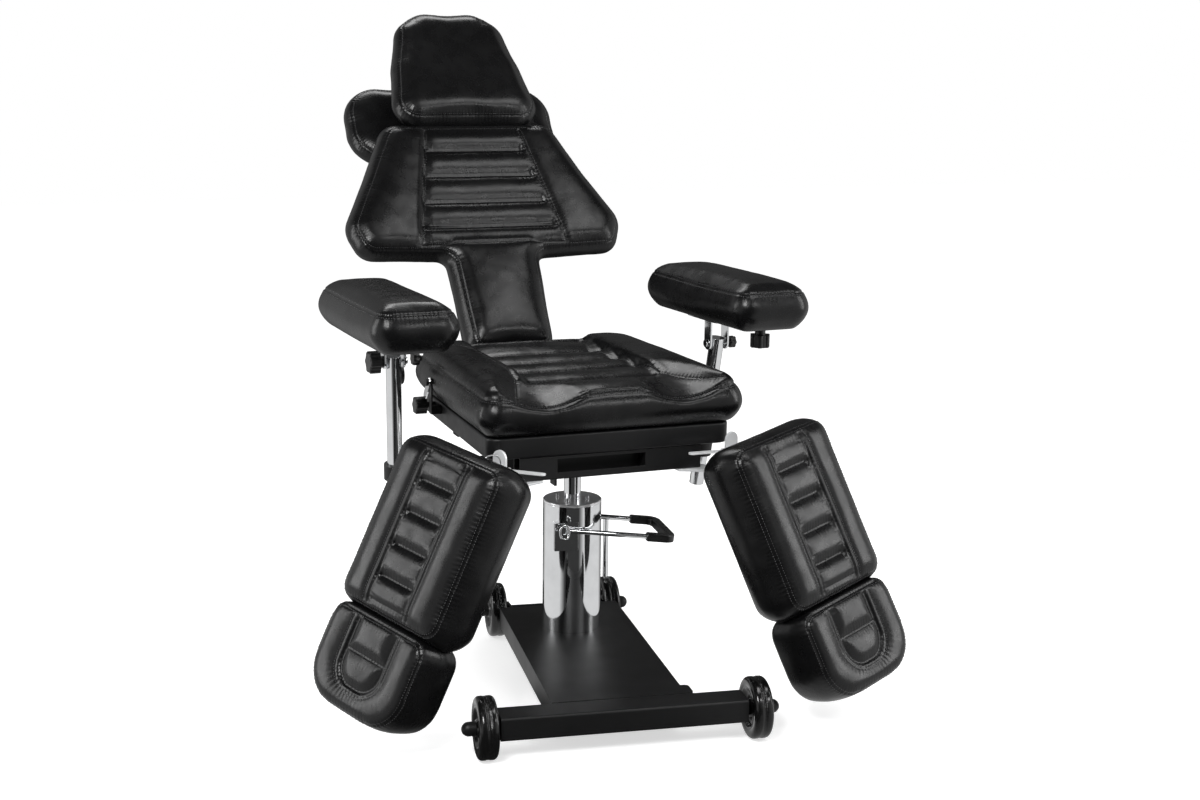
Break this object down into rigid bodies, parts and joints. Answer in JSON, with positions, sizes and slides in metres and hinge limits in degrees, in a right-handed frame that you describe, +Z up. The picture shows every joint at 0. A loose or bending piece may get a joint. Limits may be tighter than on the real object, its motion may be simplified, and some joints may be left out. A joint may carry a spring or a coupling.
{
  "type": "tattoo chair",
  "caption": "Hydraulic treatment chair on a wheeled base, with split leg rests, sliding foot pads, post-mounted arm pads, a winged backrest, a headrest and a wide rear pad.",
  "frame": {"origin": "on the floor, on the axis of the lifting column", "axes": "+Z up, +X to the viewer's right when the chair faces the viewer, which is the sitter's left, +Y towards the back of the chair"},
  "size_m": [1.1822, 1.5877, 1.4268],
  "materials": {
    "leather_black": "soft satin leatherette",
    "frame_black": "satin powder coat",
    "chrome": "polished",
    "steel_inner": "machined",
    "zinc": "bright zinc plate",
    "board_wood": "covered in black cloth",
    "wheel_black": "moulded black",
    "knob_black": "moulded black"
  },
  "bodies": {
    "base": {"front_beam": "frame_black", "base_top_plate": "frame_black", "base_rails": "frame_black", "rear_axle_brackets": "frame_black", "rear_upright": "chrome", "wheel_axles": "frame_black", "axle_cap_nuts": "frame_black", "pump_flange": "frame_black", "pump_barrel": "steel_inner", "pump_cover": "chrome", "pump_lid": "chrome", "lid_screws": "steel_inner", "lever_saddles": "chrome"},
    "front_wheel_left": {"wheel_front_left": "wheel_black"},
    "front_wheel_right": {"wheel_front_right": "wheel_black"},
    "rear_wheel_left": {"wheel_rear_left": "wheel_black"},
    "rear_wheel_right": {"wheel_rear_right": "wheel_black"},
    "pump_lever": {"lever_fork": "chrome", "lever_grip": "knob_black"},
    "lift": {"piston_rod": "chrome"},
    "seat": {"swivel_hub": "frame_black", "seat_front_member": "frame_black", "seat_rear_member": "frame_black", "seat_frame_rails": "frame_black", "seat_board": "board_wood", "seat_cushion": "leather_black", "arm_carrier": "frame_black", "recline_brackets": "frame_black", "leg_pivot_brackets": "zinc"},
    "seat_release": {"recline_lever": "chrome"},
    "seat_knob": {"rail_knob": "knob_black"},
    "backrest": {"back_frame": "frame_black", "back_board": "board_wood", "back_cushion": "leather_black"},
    "headrest_rods": {"head_rods": "chrome"},
    "headrest_pad": {"head_bracket": "chrome", "headrest": "leather_black"},
    "rear_support": {"rear_bar": "frame_black", "rear_pad": "leather_black"},
    "arm_post_left": {"arm_post_left": "chrome"},
    "arm_rest_left": {"arm_clevis_left": "chrome", "arm_pad_left": "leather_black"},
    "arm_tilt_knob_left": {"arm_knob_left": "knob_black"},
    "arm_post_right": {"arm_post_right": "chrome"},
    "arm_rest_right": {"arm_clevis_right": "chrome", "arm_pad_right": "leather_black"},
    "arm_tilt_knob_right": {"arm_knob_right": "knob_black"},
    "arm_rotation_knob": {"arm_under_knob": "knob_black"},
    "leg_swing_left": {"swing_bracket_left": "zinc"},
    "leg_release_left": {"leg_release_left": "zinc"},
    "leg_rest_left": {"leg_board_left": "board_wood", "leg_pad_left": "leather_black"},
    "foot_rest_left": {"foot_slide_left": "frame_black", "foot_pad_left": "leather_black"},
    "leg_swing_right": {"swing_bracket_right": "zinc"},
    "leg_release_right": {"leg_release_right": "zinc"},
    "leg_rest_right": {"leg_board_right": "board_wood", "leg_pad_right": "leather_black"},
    "foot_rest_right": {"foot_slide_right": "frame_black", "foot_pad_right": "leather_black"}
  },
  "joints": [
    {"name": "front_wheel_left_spin", "type": "hinge", "parent": "base", "child": "front_wheel_left", "pos_m": [-0.33758, -0.42977, 0.0615], "axis": [0.9895, -0.1444, 0], "continuous": true},
    {"name": "rear_wheel_left_spin", "type": "hinge", "parent": "base", "child": "rear_wheel_left", "pos_m": [-0.10193, 0.22608, 0.0615], "axis": [0.9895, -0.1444, 0], "continuous": true},
    {"name": "front_wheel_right_spin", "type": "hinge", "parent": "base", "child": "front_wheel_right", "pos_m": [0.20073, -0.5083, 0.0615], "axis": [0.9895, -0.1444, 0], "continuous": true},
    {"name": "rear_wheel_right_spin", "type": "hinge", "parent": "base", "child": "rear_wheel_right", "pos_m": [0.16227, 0.18754, 0.0615], "axis": [0.9895, -0.1444, 0], "continuous": true},
    {"name": "pump_lever_press", "type": "hinge", "parent": "base", "child": "pump_lever", "pos_m": [-0.03463, 0.00505, 0.327], "axis": [0.1444, 0.9895, 0], "range_deg": [0, 24], "stiffness_Nm_per_rad": 4, "springref_deg": -20.05},
    {"name": "column_lift", "type": "slide", "parent": "base", "child": "lift", "axis": [0, 0, 1], "range_m": [0, 0.13]},
    {"name": "seat_swivel", "type": "hinge", "parent": "lift", "child": "seat", "pos_m": [0, 0, 0.165], "axis": [0, 0, 1], "continuous": true},
    {"name": "recline_release", "type": "hinge", "parent": "seat", "child": "seat_release", "pos_m": [-0.28229, 0.14, 0.628], "axis": [1, 0, 0], "range_deg": [0, 25], "stiffness_Nm_per_rad": 0.5, "springref_deg": -17.19},
    {"name": "seat_knob_turn", "type": "hinge", "parent": "seat", "child": "seat_knob", "pos_m": [-0.25466, 0.193, 0.566], "axis": [1, 0, 0], "continuous": true},
    {"name": "back_recline", "type": "hinge", "parent": "seat", "child": "backrest", "pos_m": [0, 0.41503, 0.54573], "axis": [1, 0, 0], "range_deg": [-54, 5]},
    {"name": "headrest_height", "type": "slide", "parent": "backrest", "child": "headrest_rods", "axis": [0, 0.5864, 0.81], "range_m": [0, 0.08]},
    {"name": "headrest_tilt", "type": "hinge", "parent": "headrest_rods", "child": "headrest_pad", "pos_m": [0, 0.85958, 1.15474], "axis": [1, 0, 0], "range_deg": [-20, 5]},
    {"name": "rear_pad_height", "type": "slide", "parent": "backrest", "child": "rear_support", "axis": [0, 0.5864, 0.81], "range_m": [0, 0.07]},
    {"name": "arm_height_left", "type": "slide", "parent": "seat", "child": "arm_post_left", "axis": [-0.0448, -0.1624, 0.9857], "range_m": [-0.06, 0.06]},
    {"name": "arm_tilt_left", "type": "hinge", "parent": "arm_post_left", "child": "arm_rest_left", "pos_m": [-0.37745, 0.07998, 0.69], "axis": [0.9992, 0.0401, 0], "range_deg": [-30, 30]},
    {"name": "arm_knob_turn_left", "type": "hinge", "parent": "arm_rest_left", "child": "arm_tilt_knob_left", "pos_m": [-0.37745, 0.07998, 0.69], "axis": [0.9992, 0.0401, 0], "continuous": true},
    {"name": "arm_height_right", "type": "slide", "parent": "seat", "child": "arm_post_right", "axis": [0.0448, -0.1624, 0.9857], "range_m": [-0.06, 0.06]},
    {"name": "arm_tilt_right", "type": "hinge", "parent": "arm_post_right", "child": "arm_rest_right", "pos_m": [0.37745, 0.07998, 0.69], "axis": [0.9986, 0.0523, 0], "range_deg": [-30, 30]},
    {"name": "arm_knob_turn_right", "type": "hinge", "parent": "arm_rest_right", "child": "arm_tilt_knob_right", "pos_m": [0.37745, 0.07998, 0.69], "axis": [0.9986, 0.0523, 0], "continuous": true},
    {"name": "arm_under_knob_turn", "type": "hinge", "parent": "arm_rest_right", "child": "arm_rotation_knob", "pos_m": [0.39446, -0.10036, 0.69], "axis": [0, 0, 1], "continuous": true},
    {"name": "leg_swing_left", "type": "hinge", "parent": "seat", "child": "leg_swing_left", "pos_m": [-0.2598, -0.2612, 0.485], "axis": [0, 0, 1], "range_deg": [0, 60]},
    {"name": "leg_release_turn_left", "type": "hinge", "parent": "leg_swing_left", "child": "leg_release_left", "pos_m": [-0.24562, -0.28764, 0.526], "axis": [0, 0, 1], "range_deg": [-20, 0], "stiffness_Nm_per_rad": 0.5, "springref_deg": 17.19},
    {"name": "leg_tilt_left", "type": "hinge", "parent": "leg_swing_left", "child": "leg_rest_left", "pos_m": [-0.27898, -0.27148, 0.51714], "axis": [-0.4726, 0.8813, 0], "range_deg": [0, 60]},
    {"name": "foot_slide_left", "type": "slide", "parent": "leg_rest_left", "child": "foot_rest_left", "axis": [-0.4346, -0.0751, -0.8975], "range_m": [0, 0.045]},
    {"name": "leg_swing_right", "type": "hinge", "parent": "seat", "child": "leg_swing_right", "pos_m": [0.2598, -0.2612, 0.485], "axis": [0, 0, 1], "range_deg": [-14, 44]},
    {"name": "leg_release_turn_right", "type": "hinge", "parent": "leg_swing_right", "child": "leg_release_right", "pos_m": [0.23157, -0.27136, 0.526], "axis": [0, 0, 1], "range_deg": [0, 20], "stiffness_Nm_per_rad": 0.5, "springref_deg": -17.19},
    {"name": "leg_tilt_right", "type": "hinge", "parent": "leg_swing_right", "child": "leg_rest_right", "pos_m": [0.26717, -0.28168, 0.51714], "axis": [-0.9409, -0.3387, 0], "range_deg": [0, 60]},
    {"name": "foot_slide_right", "type": "slide", "parent": "leg_rest_right", "child": "foot_rest_right", "axis": [0.2727, -0.3466, -0.8975], "range_m": [0, 0.045]}
  ]
}
